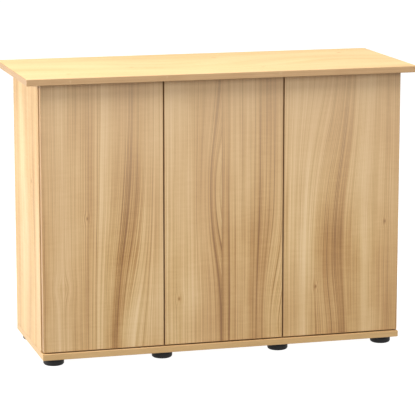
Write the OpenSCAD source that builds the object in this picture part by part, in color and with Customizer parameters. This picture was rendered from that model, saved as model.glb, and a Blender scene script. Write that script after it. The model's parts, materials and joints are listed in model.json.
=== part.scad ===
// Three-door aquarium stand in decor-faced board, on eight round glides.
// Millimetres. X runs to the right, Y into the cabinet, Z up.
// The origin is on the floor under the middle of the top board.

/* [Cabinet] */
// Width of the top board, side to side
top_w = 1010; // [960:1:1060]
// Depth of the top board, front to back
top_d = 410; // [400:1:430]
// Height of the whole stand
stand_h = 730; // [700:1:760]
// Thickness of every decor-faced board
board_t = 16; // [16:1:18]
// Overhang of the top board past each side panel
side_overhang = 35; // [20:1:45]
// Overhang of the top board past the door fronts
front_overhang = 25; // [15:1:30]
// Depth of the side panels and dividers
upright_d = 325; // [310:1:330]
// How far the base board stands proud of the door fronts
base_lip = 4; // [0:0.5:8]

/* [Doors] */
// Gap between two neighbouring doors
door_gap = 3; // [3:0.5:4]
// Outer edge of the cabinet left uncovered beside a door
door_reveal = 2.5; // [2:0.5:3]
// Gap above and below each door
door_end_gap = 3; // [2:0.5:5]
// Air between the back of a closed door and the cabinet
door_air = 2; // [2:0.1:2.5]

/* [Back and shelves] */
// Height of the rails across the top of the back
rail_h = 90; // [70:5:100]
// Height of the open hose slot under each rail
hose_slot_h = 64; // [50:1:80]
// Thickness of the hardboard backs
back_t = 3; // [3:0.5:4]
// Height of the shelf undersides over the base board
shelf_lift = 294; // [262:32:358]

/* [Glides] */
// Height of a glide
foot_h = 20; // [18:1:24]
// Radius of a glide
foot_r = 27; // [24:0.5:30]
// Rounding of its lower rim
foot_round = 6; // [3:0.5:8]
// Distance of the outer glides from the middle of the stand
foot_outer_x = 435; // [420:1:440]
// Distance of the inner glides from the middle of the stand
foot_inner_x = 154; // [140:1:165]
// Centre line of the front glides
foot_front_y = -144; // [-150:1:-130]
// Centre line of the rear glides
foot_rear_y = 127; // [110:1:132]

/* [Hinges] */
// Height of a hinge centre from the end of its door
hinge_inset = 95; // [80:1:120]
// Distance of the cup centre from the hinged edge of the door
cup_x = 21.5; // [21:0.1:22]
// Radius of the cup bore in the door
cup_bore_r = 17.5; // [17.5:0.1:17.6]
// Depth of the cup bore
cup_bore_depth = 12.5; // [12.2:0.1:12.8]

/* [Push latches] */
// Height above the floor of the latches of the two outer doors
latch_z = 580; // [450:1:590]
// How much lower the middle door's latch sits, so that its screws miss its neighbour's
latch_drop = 40; // [30:1:60]
// Radius of a latch plunger
plunger_r = 4; // [3.5:0.1:4.5]

/* [Hidden] */
$fn = 48;
eps = 0.1;
sides = ["left", "middle", "right"];

// Levels and planes of the cabinet
base_z = foot_h;
upright_z = base_z + board_t;
top_z = stand_h - board_t;
upright_h = top_z - upright_z;
door_front_y = -top_d / 2 + front_overhang;
door_back_y = door_front_y + board_t;
front_y = door_back_y + door_air;
rear_y = front_y + upright_d;
body_w = top_w - 2 * side_overhang;
door_w = (body_w - 2 * door_reveal - 2 * door_gap) / 3;
door_z = upright_z + door_end_gap;
door_h = upright_h - 2 * door_end_gap;

// Middle planes of the four uprights, left to right
gap_x = (door_w + door_gap) / 2;
upright_x = [-body_w / 2 + board_t / 2, -gap_x, gap_x, body_w / 2 - board_t / 2];
bay_w = upright_x[1] - upright_x[0] - board_t;
middle_w = upright_x[2] - upright_x[1] - board_t;

// Back of the cabinet
rail_z = top_z - rail_h;
back_y = rear_y - 11;
back_h = rail_z - hose_slot_h - upright_z;
groove_t = back_t + 0.3;
groove_depth = 6;
back_play = 0.5;

// Shelves on pins in a 32 mm hole row
shelf_z = upright_z + shelf_lift;
shelf_front_y = front_y + 12;
shelf_d = 290;
shelf_play = 1;
pin_r = 2.5;
pin_len = 16;
pin_hole_depth = 9;
pin_rows_y = [front_y + 37, front_y + 272];
hole_pitch = 32;
hole_steps = [-2 : 2];

// Cam fittings and dowels in the ends of the uprights
cam_r = 7.5;
cam_depth = 12.5;
cam_seat = 1;
cam_len = cam_depth - cam_seat - 0.5;
cam_slot = [2, 1.4, 10];
cam_inset = 34;
cam_y = [front_y + 62, rear_y - 50];
bolt_r = 3;
bolt_waist_r = 2;
bolt_waist_h = 3;
bolt_head_r = 3.4;
bolt_head_h = 3;
bolt_end_gap = 1;
bolt_bite = 11;
dowel_r = 4;
dowel_y = [front_y + 94, rear_y - 82];
dowel_bite = 10;
dowel_run = 22;
rail_dowel_z = [rail_z + 24, rail_z + rail_h - 26];
rail_dowel_run = 20;
side_dowel_bite = 12;

// Hinge linkage, seen from above: x from the hinged edge along the door, y from the
// back of the closed door into the cabinet
outer_arm_pivot = [34, 14];
outer_cup_pivot = [10.5, -1.8];
inner_arm_pivot = [34, -6.5];
inner_cup_pivot = [15.8, -5];
outer_link_bend = [15.8, -3.4];
pivot_r = 1.25;
pivot_play = 0.05;
loose_pin_r = 1;
loose_eye_r = 3.1;
loose_eye_wall = 1.2;
outer_ear_r = 2.6;
inner_ear_r = 2.4;
eye_r = 2.8;
outer_link_half = 1.5;
inner_link_half = 2;
link_half = 3;
cheek_in = 3.3;
cheek_out = 4.6;
inner_link_in = 4.9;
inner_link_out = 6.2;
loose_ear_in = 6.5;
loose_ear_out = 7.7;
cup_r = cup_bore_r - 0.1;
cup_wall = 0.8;
cup_depth = 12;
flange_t = 1;
flange_r = cup_r + 1.1;
cup_screw_z = 24;
cup_screw_x = cup_x + 6;
cup_wing_r = 6.5;
web_x = 37.4;
web_t = 1.2;
arm_back_x = 22;
arm_step = 6;
arm_front_y = outer_arm_pivot[1] - 4;
arm_deep_d = 24;
arm_end_y = 58;
arm_slot_y = outer_arm_pivot[1] + 7;
arm_slot_d = 14;
arm_slot_w = 2.4;
plate_t = 2;
plate_w = 14;
plate_screw_y = 39;
plate_screw_z = 16;
block_y = 20;
block_setback = 4;
arm_screw_y = 47;
arm_screw_len = 9;
side_face = board_t - door_reveal;
divider_face = (board_t - door_gap) / 2;
hinge_z = [door_z + hinge_inset, door_z + door_h - hinge_inset];

// Screw pocket in the sole of a glide
foot_pocket_r = 6;
foot_pocket_h = 8;

// Small screws
screw_r = 1.75;
screw_head_r = 3.6;
screw_head_h = 2;
cup_screw_head_h = 1.6;
screw_slot = [0.8, 1, 5.2];
screw_key_r = 1.6;
screw_len = 12;

// Push latches beside the free edge of each door
latch_w = 14;
latch_h = 15;
latch_front_y = front_y + 2;
latch_len = 70;
latch_ear_h = 9;
latch_ear_t = 2.5;
latch_ear_w = 12;
latch_head_h = 1.6;
latch_ear_y = [latch_front_y + 12, latch_front_y + latch_len - 12];
plunger_len = 48;
plunger_play = 0.08;
plunger_bore = 62;
plunger_travel = 2.5;
spring_r = 3;
spring_wire = 0.6;
spring_seat = 20;
strike_t = 1;
strike_r = 8;
strike_air = 0.3;
bumper_r = 3;
bumper_t = 1.6;
bumper_inset = 22;
plunger_tip_y = door_back_y + strike_t + strike_air;

wood = [0.88, 0.74, 0.54];
wood_dark = [0.82, 0.67, 0.47];
steel = [0.72, 0.73, 0.75];
black = [0.08, 0.08, 0.09];

// ---- helpers ----------------------------------------------------------------

// A board from its lowest corner
module board(low, size) { translate(low) cube(size); }

// A cylinder along X from x = 0
module rod_x(r, len) { rotate([0, 90, 0]) cylinder(r = r, h = len); }

// A cylinder along Y from y = 0
module rod_y(r, len) { rotate([-90, 0, 0]) cylinder(r = r, h = len); }

// A cross cut into a head whose face is at x = face: size is its depth, width and length
module cross_slot(face, size) {
    for (turn = [0, 90])
        rotate([turn, 0, 0])
            translate([face - size[0], -size[1] / 2, -size[2] / 2]) cube([2 * size[0], size[1], size[2]]);
}

// A flat bar from p to q
module bar(p, q, half) {
    d = q - p;
    translate(p) rotate(atan2(d[1], d[0])) translate([0, -half]) square([norm(d), 2 * half]);
}

// The layer between two heights, above and below the middle of a hinge
module both_sides(low, high) {
    for (s = [0, 1])
        mirror([0, 0, s]) translate([0, 0, low]) linear_extrude(high - low) children();
}

// The same shape at both hinges of a left-hinged door whose edge is at x
module at_hinges(x) { for (z = hinge_z) translate([x, door_back_y, z]) children(); }

// Edge of each door that carries the hinges, by door name
function hinge_edge(side) = side == "middle" ? -gap_x + door_gap / 2 : -body_w / 2 + door_reveal;
function panel_face(side) = side == "middle" ? divider_face : side_face;

// The right door and its fittings mirror the left ones
module on_side(side) { mirror([side == "right" ? 1 : 0, 0, 0]) children(); }

// ---- cabinet boards ---------------------------------------------------------

// Bores for the cam bolts and dowels that hold a flat board to the uprights
module upright_bores(z, up) {
    for (x = upright_x) {
        for (y = cam_y)
            translate([x, y, z - (up ? 0 : bolt_bite + eps)]) cylinder(r = bolt_r, h = bolt_bite + eps);
        for (y = dowel_y)
            translate([x, y, z - (up ? 0 : dowel_bite + eps)]) cylinder(r = dowel_r, h = dowel_bite + eps);
    }
}

module top_panel() {
    color(wood) difference() {
        board([-top_w / 2, -top_d / 2, top_z], [top_w, top_d, board_t]);
        upright_bores(top_z, true);
    }
}

module bottom_panel() {
    low_y = door_front_y - base_lip;
    color(wood) difference() {
        board([-body_w / 2, low_y, base_z], [body_w, rear_y - low_y, board_t]);
        upright_bores(upright_z, false);
        at_feet() translate([0, 0, foot_h - eps]) cylinder(r = screw_r, h = screw_len);
    }
}

// Round pockets of the cams, in the face that looks along +X, and the bolt holes to them
module cam_pockets() {
    for (y = cam_y) {
        for (z = [upright_z + cam_inset, top_z - cam_inset])
            translate([board_t / 2 - cam_depth, y, z]) rod_x(cam_r, cam_depth + eps);
        translate([0, y, upright_z - eps]) cylinder(r = bolt_head_r + eps, h = cam_inset);
        translate([0, y, top_z - cam_inset]) cylinder(r = bolt_head_r + eps, h = cam_inset + eps);
    }
    for (y = dowel_y) {
        translate([0, y, upright_z - eps]) cylinder(r = dowel_r, h = dowel_run + eps);
        translate([0, y, top_z - dowel_run]) cylinder(r = dowel_r, h = dowel_run + eps);
    }
}

// Groove for a hardboard back in the face that looks along +X
module back_groove() {
    translate([board_t / 2 - groove_depth, back_y, upright_z - eps])
        cube([groove_depth + eps, groove_t, back_h + back_play + eps]);
}

// Rows of shelf holes in the face that looks along +X
module shelf_holes() {
    for (y = pin_rows_y, k = hole_steps)
        translate([board_t / 2 - pin_hole_depth, y, shelf_z - pin_r + k * hole_pitch])
            rod_x(pin_r, pin_hole_depth + eps);
}

// Pilot holes of the hinge plates in the face that looks along +X
module plate_pilots() {
    for (z = hinge_z, s = [-1, 1])
        translate([board_t / 2 - screw_len, door_back_y + plate_screw_y, z + s * plate_screw_z])
            rod_x(screw_r, screw_len + eps);
}

// Pilot holes of a door's push latch in the face that looks along +X
module latch_pilots(side) {
    for (y = latch_ear_y)
        translate([board_t / 2 - screw_len, y, latch_height(side) + (latch_h + latch_ear_h) / 2])
            rod_x(screw_r, screw_len + eps);
}

module upright_blank() {
    board([-board_t / 2, front_y, upright_z], [board_t, upright_d, upright_h]);
}

module left_side_panel() {
    color(wood) translate([upright_x[0], 0, 0]) difference() {
        upright_blank();
        cam_pockets();
        back_groove();
        shelf_holes();
        plate_pilots();
        for (z = rail_dowel_z)
            translate([board_t / 2 - side_dowel_bite, rear_y - board_t / 2, z])
                rod_x(dowel_r, side_dowel_bite + eps);
    }
}

// A divider, with the shelf holes of the outer bay on its left and the middle bay on its right
module divider_blank() {
    difference() {
        upright_blank();
        cam_pockets();
        back_groove();
        mirror([1, 0, 0]) {
            back_groove();
            shelf_holes();
            latch_pilots("left");
        }
        for (z = rail_dowel_z)
            translate([-board_t / 2 - eps, rear_y - board_t / 2, z])
                rod_x(dowel_r, board_t + 2 * eps);
    }
}

module left_divider() {
    color(wood) translate([upright_x[1], 0, 0]) difference() {
        divider_blank();
        plate_pilots();
    }
}

module right_divider() {
    color(wood) translate([upright_x[2], 0, 0]) mirror([1, 0, 0]) difference() {
        divider_blank();
        latch_pilots("middle");
    }
}

module right_side_panel() { mirror([1, 0, 0]) left_side_panel(); }

// A rail across the top of the back, from x0 over a length w
module rear_rail(x0, w) {
    color(wood) difference() {
        board([x0, rear_y - board_t, rail_z], [w, board_t, rail_h]);
        for (z = rail_dowel_z) {
            translate([x0 - eps, rear_y - board_t / 2, z]) rod_x(dowel_r, rail_dowel_run + eps);
            translate([x0 + w - rail_dowel_run, rear_y - board_t / 2, z])
                rod_x(dowel_r, rail_dowel_run + eps);
        }
    }
}

module left_rear_rail() { rear_rail(upright_x[0] + board_t / 2, bay_w); }
module middle_rear_rail() { rear_rail(-middle_w / 2, middle_w); }
module right_rear_rail() { mirror([1, 0, 0]) left_rear_rail(); }

// A hardboard back that stands in the grooves of two uprights
module back_panel(x0, w) {
    reach = groove_depth - back_play;
    color(wood_dark)
        board([x0 - reach, back_y + (groove_t - back_t) / 2, upright_z], [w + 2 * reach, back_t, back_h]);
}

module left_back_panel() { back_panel(upright_x[0] + board_t / 2, bay_w); }
module middle_back_panel() { back_panel(-middle_w / 2, middle_w); }
module right_back_panel() { mirror([1, 0, 0]) left_back_panel(); }

module left_shelf() {
    color(wood)
        board([upright_x[0] + board_t / 2 + shelf_play, shelf_front_y, shelf_z],
              [bay_w - 2 * shelf_play, shelf_d, board_t]);
}

module right_shelf() { mirror([1, 0, 0]) left_shelf(); }

// Four steel pins carry each shelf
module shelf_pins() {
    faces = [upright_x[0] + board_t / 2, upright_x[1] - board_t / 2];
    color(steel)
        for (s = [0, 1], y = pin_rows_y, k = [0, 1])
            mirror([s, 0, 0])
                translate([faces[k] - pin_len / 2, y, shelf_z - pin_r]) rod_x(pin_r, pin_len);
}

// ---- cabinet fittings -------------------------------------------------------

// Every upright's place, with the face that holds its cams turned along +X
module at_uprights() {
    for (k = [0, 1]) translate([upright_x[k], 0, 0]) children();
    for (k = [2, 3]) translate([upright_x[k], 0, 0]) mirror([1, 0, 0]) children();
}

module cam_locks() {
    color(steel) at_uprights()
        for (y = cam_y, up = [0, 1])
            translate([board_t / 2 - cam_depth + cam_seat, y,
                       up ? top_z - cam_inset : upright_z + cam_inset])
                rotate([up ? 0 : 180, 0, 0]) difference() {
                    rod_x(cam_r - eps, cam_len);
                    translate([cam_depth - cam_seat - board_t / 2, 0, 0])
                        cylinder(r = bolt_head_r + 0.3, h = cam_r);
                    cross_slot(cam_len, cam_slot);
                }
}

// A bolt screwed into the top or base board, with its waisted head in a cam
module cam_bolt() {
    head_z = cam_inset - bolt_end_gap - bolt_head_h;
    waist_z = head_z - bolt_waist_h;
    translate([0, 0, -bolt_bite]) cylinder(r = bolt_r, h = bolt_bite + waist_z);
    translate([0, 0, waist_z]) cylinder(r = bolt_waist_r, h = bolt_waist_h);
    translate([0, 0, head_z]) cylinder(r = bolt_head_r, h = bolt_head_h);
}

module cam_bolts() {
    color(steel)
        for (x = upright_x, y = cam_y) {
            translate([x, y, upright_z]) cam_bolt();
            translate([x, y, top_z]) mirror([0, 0, 1]) cam_bolt();
        }
}

module upright_dowels() {
    color(wood_dark)
        for (x = upright_x, y = dowel_y) {
            for (z = [upright_z - dowel_bite, top_z - dowel_run])
                translate([x, y, z]) cylinder(r = dowel_r - eps, h = dowel_bite + dowel_run);
        }
}

// Short dowels at the side panels and long ones right through the dividers
module rail_dowels() {
    short = side_dowel_bite + rail_dowel_run;
    long = board_t + 2 * rail_dowel_run;
    color(wood_dark)
        for (s = [0, 1], z = rail_dowel_z)
            mirror([s, 0, 0]) {
                translate([upright_x[0] + board_t / 2 - side_dowel_bite, rear_y - board_t / 2, z])
                    rod_x(dowel_r - eps, short);
                translate([upright_x[1] - long / 2, rear_y - board_t / 2, z]) rod_x(dowel_r - eps, long);
            }
}

// Centres of a row of four glides, or of both rows
module at_foot_row(y) {
    for (x = [-foot_outer_x, -foot_inner_x, foot_inner_x, foot_outer_x])
        translate([x, y, 0]) children();
}
module at_feet() {
    at_foot_row(foot_front_y) children();
    at_foot_row(foot_rear_y) children();
}

// A turned glide with a rounded rim and a screw pocket in its sole
module glide() {
    rotate_extrude($fn = 96) {
        translate([foot_pocket_r, 0]) square([foot_r - foot_round - foot_pocket_r, foot_h]);
        translate([foot_pocket_r, foot_round])
            square([foot_r - foot_pocket_r, foot_h - foot_round]);
        translate([foot_r - foot_round, foot_round]) circle(foot_round);
        translate([screw_r + eps, foot_pocket_h])
            square([foot_pocket_r - screw_r, foot_h - foot_pocket_h]);
    }
}

module front_glides() { color(black) at_foot_row(foot_front_y) glide(); }
module rear_glides() { color(black) at_foot_row(foot_rear_y) glide(); }

module glide_screws() {
    color(steel) at_feet() translate([0, 0, foot_pocket_h - screw_head_h]) {
        difference() {
            cylinder(r = screw_head_r, h = screw_head_h);
            translate([0, 0, -eps]) cylinder(r = screw_key_r, h = screw_head_h / 2, $fn = 6);
        }
        cylinder(r = screw_r, h = foot_h - foot_pocket_h + screw_head_h + screw_len - 1);
    }
}

// ---- concealed hinges -------------------------------------------------------

// Plate screwed to a panel whose face is at x = face, with the block that carries the arm
module hinge_plate(face) {
    difference() {
        union() {
            translate([face, block_y, -plate_w / 2]) cube([plate_t, arm_end_y - block_y, plate_w]);
            translate([face, plate_screw_y - plate_w / 2, -plate_screw_z])
                cube([plate_t, plate_w, 2 * plate_screw_z]);
            for (s = [-1, 1])
                translate([face, plate_screw_y, s * plate_screw_z]) rod_x(plate_w / 2, plate_t);
            translate([face, block_y, -link_half])
                cube([web_x - face, arm_end_y - block_y - block_setback, 2 * link_half]);
        }
        for (s = [-1, 1])
            translate([face - eps, plate_screw_y, s * plate_screw_z]) rod_x(screw_r + eps, plate_t + 1);
        translate([web_x - arm_screw_len - 1, arm_screw_y, 0]) rod_x(screw_r, arm_screw_len + 1 + eps);
    }
}

module at_door_hinges(side) { on_side(side) at_hinges(hinge_edge(side)) children(); }

module hinge_plates() {
    color(steel) for (side = sides) at_door_hinges(side) hinge_plate(panel_face(side));
}

module hinge_plate_screws() {
    color(steel) for (side = sides, s = [-1, 1])
        at_door_hinges(side)
            translate([panel_face(side) + plate_t, plate_screw_y, s * plate_screw_z]) {
                difference() {
                    rod_x(screw_head_r, screw_head_h);
                    cross_slot(screw_head_h, screw_slot);
                }
                translate([-screw_len, 0, 0]) rod_x(screw_r, screw_len + 1);
            }
}

// Side cheek of an arm: a nose down to the inner pivot and a body behind it
module cheek_outline() {
    difference() {
        union() {
            bar(inner_arm_pivot, outer_arm_pivot, eye_r - 0.2);
            for (p = [inner_arm_pivot, outer_arm_pivot]) translate(p) circle(eye_r);
            translate([arm_back_x, arm_front_y]) square([web_x + web_t - arm_back_x, arm_deep_d]);
            translate([arm_back_x + arm_step, outer_arm_pivot[1]])
                square([web_x + web_t - arm_back_x - arm_step, arm_end_y - outer_arm_pivot[1]]);
        }
        translate(inner_arm_pivot) circle(pivot_r);
        translate(outer_arm_pivot) circle(pivot_r);
    }
}

module hinge_arm() {
    both_sides(cheek_in, cheek_out) cheek_outline();
    difference() {
        translate([web_x, arm_front_y, -cheek_out])
            cube([web_t, arm_end_y - arm_front_y, 2 * cheek_out]);
        translate([web_x - eps, arm_screw_y, 0]) rod_x(screw_r + eps, web_t + 1);
        translate([web_x - eps, arm_slot_y, -arm_slot_w / 2]) cube([web_t + 1, arm_slot_d, arm_slot_w]);
    }
}

module hinge_arms() {
    color(steel) for (side = sides) at_door_hinges(side) hinge_arm();
}

module hinge_arm_screws() {
    color(steel) for (side = sides) at_door_hinges(side)
        translate([web_x + web_t, arm_screw_y, 0]) {
            difference() {
                rod_x(screw_head_r, screw_head_h);
                cross_slot(screw_head_h, screw_slot);
            }
            translate([-arm_screw_len - web_t, 0, 0])
                rod_x(screw_r - pivot_play, arm_screw_len + web_t + screw_head_h / 4);
        }
}

module hinge_arm_pins() {
    color(steel) for (side = sides) at_door_hinges(side) {
        translate([outer_arm_pivot[0], outer_arm_pivot[1], -cheek_out])
            cylinder(r = pivot_r, h = 2 * cheek_out);
        translate([inner_arm_pivot[0], inner_arm_pivot[1], -inner_link_out - 0.2])
            cylinder(r = pivot_r, h = 2 * inner_link_out + 0.4);
    }
}

// Upright ear inside a cup that holds one pivot
module cup_ear(pivot, half, hole_r) {
    difference() {
        union() {
            translate(pivot) circle(half);
            translate([pivot[0] - half, -cup_depth + cup_wall / 2])
                square([2 * half, pivot[1] + cup_depth - cup_wall / 2]);
        }
        translate(pivot) circle(hole_r);
    }
}

// Pressed cup with a flange, two screw wings and the pivot ears
module hinge_cup() {
    difference() {
        union() {
            translate([cup_x, -cup_depth, 0]) rod_y(cup_r, cup_depth);
            translate([cup_x, 0, 0]) rod_y(flange_r, flange_t);
            translate([cup_screw_x - cup_wing_r, 0, -cup_screw_z])
                cube([2 * cup_wing_r, flange_t, 2 * cup_screw_z]);
            for (s = [-1, 1])
                translate([cup_screw_x, 0, s * cup_screw_z]) rod_y(cup_wing_r, flange_t);
        }
        translate([cup_x, -cup_depth + cup_wall, 0]) rod_y(cup_r - cup_wall, cup_depth + flange_t);
        for (s = [-1, 1])
            translate([cup_screw_x, -eps, s * cup_screw_z]) rod_y(screw_r + eps, flange_t + 1);
    }
    both_sides(cheek_in, cheek_out - 0.1) cup_ear(outer_cup_pivot, outer_ear_r, pivot_r);
    both_sides(loose_ear_in, loose_ear_out) cup_ear(inner_cup_pivot, inner_ear_r, loose_pin_r);
}

module hinge_cups(side) { color(steel) at_door_hinges(side) hinge_cup(); }
module left_door_hinge_cups() { hinge_cups("left"); }
module middle_door_hinge_cups() { hinge_cups("middle"); }
module right_door_hinge_cups() { hinge_cups("right"); }

module cup_pins(side) {
    color(steel) at_door_hinges(side) {
        translate([outer_cup_pivot[0], outer_cup_pivot[1], 0.1 - cheek_out])
            cylinder(r = pivot_r, h = 2 * cheek_out - 0.2);
        both_sides(inner_link_in, loose_ear_out) translate(inner_cup_pivot) circle(loose_pin_r);
    }
}
module left_door_cup_pins() { cup_pins("left"); }
module middle_door_cup_pins() { cup_pins("middle"); }
module right_door_cup_pins() { cup_pins("right"); }

// Bent link between the arm's outer pivot and the cup's outer pivot
module outer_link() {
    linear_extrude(2 * link_half, center = true) difference() {
        union() {
            bar(outer_cup_pivot, outer_link_bend, outer_link_half);
            bar(outer_link_bend, outer_arm_pivot, outer_link_half);
            translate(outer_link_bend) circle(outer_link_half + 0.2);
            for (p = [outer_cup_pivot, outer_arm_pivot]) translate(p) circle(eye_r);
        }
        for (p = [outer_cup_pivot, outer_arm_pivot]) translate(p) circle(pivot_r + pivot_play);
    }
}
module outer_links(side) { color(steel) at_door_hinges(side) outer_link(); }
module left_door_outer_links() { outer_links("left"); }
module middle_door_outer_links() { outer_links("middle"); }
module right_door_outer_links() { outer_links("right"); }

// Pair of cheeks from the arm's inner pivot to a wide eye round the cup's loose pin
module inner_link() {
    both_sides(inner_link_in, inner_link_out) difference() {
        union() {
            bar(inner_cup_pivot, inner_arm_pivot, inner_link_half);
            translate(inner_cup_pivot) circle(loose_eye_r + loose_eye_wall);
            translate(inner_arm_pivot) circle(eye_r);
        }
        translate(inner_cup_pivot) circle(loose_eye_r);
        translate(inner_arm_pivot) circle(pivot_r + pivot_play);
    }
}
module inner_links(side) { color(steel) at_door_hinges(side) inner_link(); }
module left_door_inner_links() { inner_links("left"); }
module middle_door_inner_links() { inner_links("middle"); }
module right_door_inner_links() { inner_links("right"); }

module cup_screws(side) {
    color(steel) at_door_hinges(side)
        for (s = [-1, 1])
            translate([cup_screw_x, 0, s * cup_screw_z]) {
                translate([0, flange_t, 0]) difference() {
                    rod_y(screw_head_r, cup_screw_head_h);
                    rotate([0, 0, 90]) cross_slot(cup_screw_head_h, screw_slot);
                }
                translate([0, -screw_len, 0]) rod_y(screw_r, screw_len + flange_t + screw_head_h / 4);
            }
}
module left_door_cup_screws() { cup_screws("left"); }
module middle_door_cup_screws() { cup_screws("middle"); }
module right_door_cup_screws() { cup_screws("right"); }

// ---- doors ------------------------------------------------------------------

// A left-hinged door, bored for its hinge cups and their screws
module door(side) {
    color(wood) on_side(side) difference() {
        board([hinge_edge(side), door_front_y, door_z], [door_w, board_t, door_h]);
        at_hinges(hinge_edge(side)) {
            translate([cup_x, -cup_bore_depth, 0]) rod_y(cup_bore_r, cup_bore_depth + eps);
            for (s = [-1, 1])
                translate([cup_screw_x, -screw_len, s * cup_screw_z]) rod_y(screw_r, screw_len + eps);
        }
    }
}
module left_door() { door("left"); }
module middle_door() { door("middle"); }
module right_door() { door("right"); }

// Face of the upright beside a door's free edge, on the bay's side
function latch_face(side) = hinge_edge(side) + door_w - divider_face;

// Centre line of a door's latch
function latch_x(side) = latch_face(side) - latch_w / 2;
function latch_height(side) = latch_z - (side == "middle" ? latch_drop : 0);

// Latch body with an eared foot, held to the upright by two screws
module latch_housing(side) {
    face = latch_face(side);
    translate([0, 0, latch_height(side)]) difference() {
        union() {
            translate([face - latch_w, latch_front_y, -latch_h / 2]) cube([latch_w, latch_len, latch_h]);
            for (y = latch_ear_y)
                translate([face - latch_ear_t, y - latch_ear_w / 2, latch_h / 2 - eps])
                    cube([latch_ear_t, latch_ear_w, latch_ear_h + eps]);
        }
        translate([latch_x(side), latch_front_y - eps, 0])
            rod_y(plunger_r + plunger_play, plunger_bore + eps);
        for (y = latch_ear_y)
            translate([face - latch_ear_t - eps, y, (latch_h + latch_ear_h) / 2])
                rod_x(screw_r + eps, latch_ear_t + 2 * eps);
    }
}

module latch_housings() {
    color([0.85, 0.85, 0.83]) for (side = sides) on_side(side) latch_housing(side);
}

module latch_screws() {
    color(steel) for (side = sides) on_side(side)
        for (y = latch_ear_y)
            translate([latch_face(side) - latch_ear_t, y,
                       latch_height(side) + (latch_h + latch_ear_h) / 2]) {
                difference() {
                    translate([-latch_head_h, 0, 0]) rod_x(screw_head_r, latch_head_h);
                    mirror([1, 0, 0]) cross_slot(latch_head_h, screw_slot);
                }
                translate([-0.5, 0, 0]) rod_x(screw_r, screw_len + latch_ear_t - 0.5);
            }
}

// Plunger with a magnet face, its tip just clear of the strike plate, hollow at the rear
module latch_plunger(side) {
    color([0.55, 0.56, 0.58]) on_side(side)
        translate([latch_x(side), plunger_tip_y, latch_height(side)]) difference() {
            rod_y(plunger_r, plunger_len);
            translate([0, plunger_len - spring_seat, 0]) rod_y(spring_r + 0.3, spring_seat + eps);
        }
}
module left_latch_plunger() { latch_plunger("left"); }
module middle_latch_plunger() { latch_plunger("middle"); }
module right_latch_plunger() { latch_plunger("right"); }

// Outer shape of the coil springs, from the end of the housing bore into the plungers
module latch_springs() {
    low_y = plunger_tip_y + plunger_len - spring_seat + plunger_travel + eps;
    spring_len = latch_front_y + plunger_bore - low_y;
    color(steel) for (side = sides) on_side(side)
        translate([latch_x(side), low_y, latch_height(side)]) difference() {
            rod_y(spring_r, spring_len);
            translate([0, -eps, 0]) rod_y(spring_r - spring_wire, spring_len + 2 * eps);
        }
}

module strike_plate(side) {
    color(steel) on_side(side)
        translate([latch_x(side), door_back_y, latch_height(side)]) rod_y(strike_r, strike_t);
}
module left_door_strike_plate() { strike_plate("left"); }
module middle_door_strike_plate() { strike_plate("middle"); }
module right_door_strike_plate() { strike_plate("right"); }

// Soft bumpers where the free edge of a door meets its upright
module bumpers(side) {
    x = hinge_edge(side) + door_w - divider_face / 2;
    color([0.9, 0.9, 0.88]) on_side(side)
        for (z = [door_z + bumper_inset, door_z + door_h - bumper_inset])
            translate([x, door_back_y, z]) rod_y(bumper_r, bumper_t);
}
module left_door_bumpers() { bumpers("left"); }
module middle_door_bumpers() { bumpers("middle"); }
module right_door_bumpers() { bumpers("right"); }

// ---- nodes ----

top_panel();
bottom_panel();
left_side_panel();
right_side_panel();
left_divider();
right_divider();
left_rear_rail();
middle_rear_rail();
right_rear_rail();
left_back_panel();
middle_back_panel();
right_back_panel();
left_shelf();
right_shelf();
shelf_pins();
cam_locks();
cam_bolts();
upright_dowels();
rail_dowels();
front_glides();
rear_glides();
glide_screws();
hinge_plates();
hinge_plate_screws();
hinge_arms();
hinge_arm_screws();
hinge_arm_pins();
latch_housings();
latch_screws();
latch_springs();
left_door();
left_door_hinge_cups();
left_door_cup_pins();
left_door_cup_screws();
left_door_strike_plate();
left_door_bumpers();
left_door_outer_links();
left_door_inner_links();
left_latch_plunger();
middle_door();
middle_door_hinge_cups();
middle_door_cup_pins();
middle_door_cup_screws();
middle_door_strike_plate();
middle_door_bumpers();
middle_door_outer_links();
middle_door_inner_links();
middle_latch_plunger();
right_door();
right_door_hinge_cups();
right_door_cup_pins();
right_door_cup_screws();
right_door_strike_plate();
right_door_bumpers();
right_door_outer_links();
right_door_inner_links();
right_latch_plunger();
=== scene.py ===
import json
import logging
import math
from collections.abc import Sequence
from dataclasses import dataclass, field
from enum import Enum

import bmesh
import bpy
from mathutils import Matrix, Vector

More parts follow.
